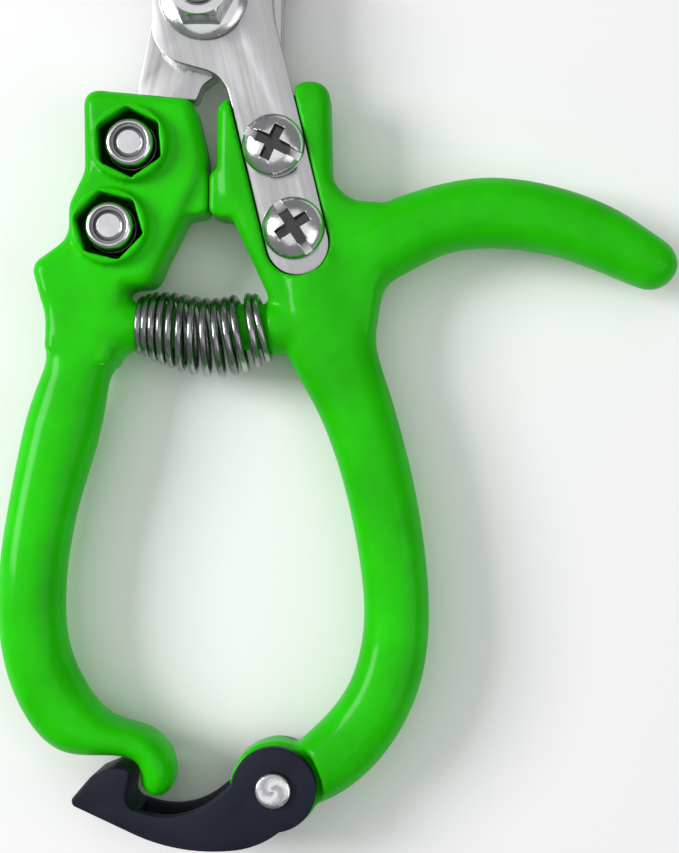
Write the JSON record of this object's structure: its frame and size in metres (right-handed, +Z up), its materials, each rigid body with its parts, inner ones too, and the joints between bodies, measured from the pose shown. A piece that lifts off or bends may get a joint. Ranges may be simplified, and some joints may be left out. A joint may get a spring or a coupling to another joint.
{
  "type": "bypass pruner",
  "caption": "Bypass pruner with dipped handles, a coil return spring, a finger hook and a swinging latch that ties the handle ends together.",
  "frame": {"origin": "on the pivot axis, at the underside of the pivot bolt's head, which is the plane the tool rests on", "axes": "+X to the finger hook's side, +Y from the handles to the blade tips, +Z up through the pivot to the flange nut"},
  "size_m": [0.11, 0.199, 0.0183],
  "materials": {
    "cast_core": "as cast",
    "green_vinyl": "soft gloss dip coat",
    "blade_steel": "satin ground",
    "zinc_plate": "bright zinc plate",
    "lock_ring_nylon": "matte",
    "spring_steel": "drawn wire",
    "rivet_aluminium": "spun over",
    "latch_plastic": "fine matte moulding"
  },
  "bodies": {
    "left_side": {"left_handle_core": "cast_core", "left_handle_coating": "green_vinyl", "counter_blade": "blade_steel", "left_upper_screw": "zinc_plate", "left_lower_screw": "zinc_plate", "left_upper_nut": "zinc_plate", "left_lower_nut": "zinc_plate", "left_upper_nut_ring": "lock_ring_nylon", "left_lower_nut_ring": "lock_ring_nylon", "pivot_bolt": "zinc_plate", "pivot_flange_nut": "zinc_plate", "return_spring": "spring_steel"},
    "right_side": {"right_handle_core": "cast_core", "right_handle_coating": "green_vinyl", "cutting_blade": "blade_steel", "right_upper_screw": "zinc_plate", "right_lower_screw": "zinc_plate", "right_upper_nut": "zinc_plate", "right_lower_nut": "zinc_plate", "right_upper_nut_ring": "lock_ring_nylon", "right_lower_nut_ring": "lock_ring_nylon", "latch_rivet": "rivet_aluminium"},
    "latch_arm": {"latch": "latch_plastic"}
  },
  "joints": [
    {"name": "handle_pivot", "type": "hinge", "parent": "left_side", "child": "right_side", "pos_m": [0, 0, 0.008], "axis": [0, 0, 1], "range_deg": [0, 40], "deforming": ["return_spring"]},
    {"name": "latch_pivot", "type": "hinge", "parent": "right_side", "child": "latch_arm", "pos_m": [0.0114, -0.1267, 0.008], "axis": [0, 0, 1], "range_deg": [0, 70]}
  ]
}
